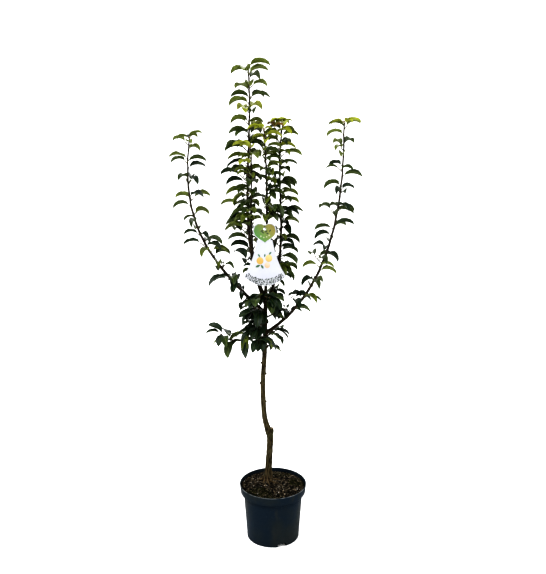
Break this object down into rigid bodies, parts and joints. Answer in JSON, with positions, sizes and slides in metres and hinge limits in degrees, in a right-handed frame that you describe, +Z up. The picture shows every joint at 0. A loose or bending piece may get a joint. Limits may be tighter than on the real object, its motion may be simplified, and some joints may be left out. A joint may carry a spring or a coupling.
{
  "type": "young pear tree in a nursery pot",
  "caption": "Young pear tree with a crooked grafted trunk, upright leafy leaders and two curved boughs, in a round nursery pot, with a blank hanging card.",
  "frame": {"origin": "middle of the flat underside of the pot", "axes": "+Z up the tree, -Y to the front, where the card hangs, +X to the right seen from the front"},
  "size_m": [0.5937, 0.228, 1.6032],
  "materials": {
    "pot_plastic": "satin",
    "soil": "matte",
    "bark": "matte",
    "shoot": "satin",
    "foliage": "satin",
    "card": "satin",
    "tie": "satin"
  },
  "bodies": {
    "root": {"pot": "pot_plastic", "potting_soil": "soil", "trunk": "bark", "left_bough": "shoot", "right_bough": "shoot", "low_left_twig": "shoot", "left_leader": "shoot", "side_leader": "shoot", "middle_leader": "shoot", "right_leader": "shoot", "left_bough_foliage": "foliage", "right_bough_foliage": "foliage", "low_left_twig_foliage": "foliage", "left_leader_foliage": "foliage", "side_leader_foliage": "foliage", "middle_leader_foliage": "foliage", "right_leader_foliage": "foliage", "spur_left_high_foliage": "foliage", "spur_right_high_foliage": "foliage", "spur_front_high_foliage": "foliage", "spur_back_high_foliage": "foliage", "spur_left_middle_foliage": "foliage", "spur_left_low_foliage": "foliage", "spur_right_middle_foliage": "foliage", "spur_back_low_foliage": "foliage", "spur_front_low_foliage": "foliage", "spur_right_low_foliage": "foliage", "spur_right_out_foliage": "foliage", "tag_card": "card", "tag_tie": "tie"}
  },
  "joints": []
}
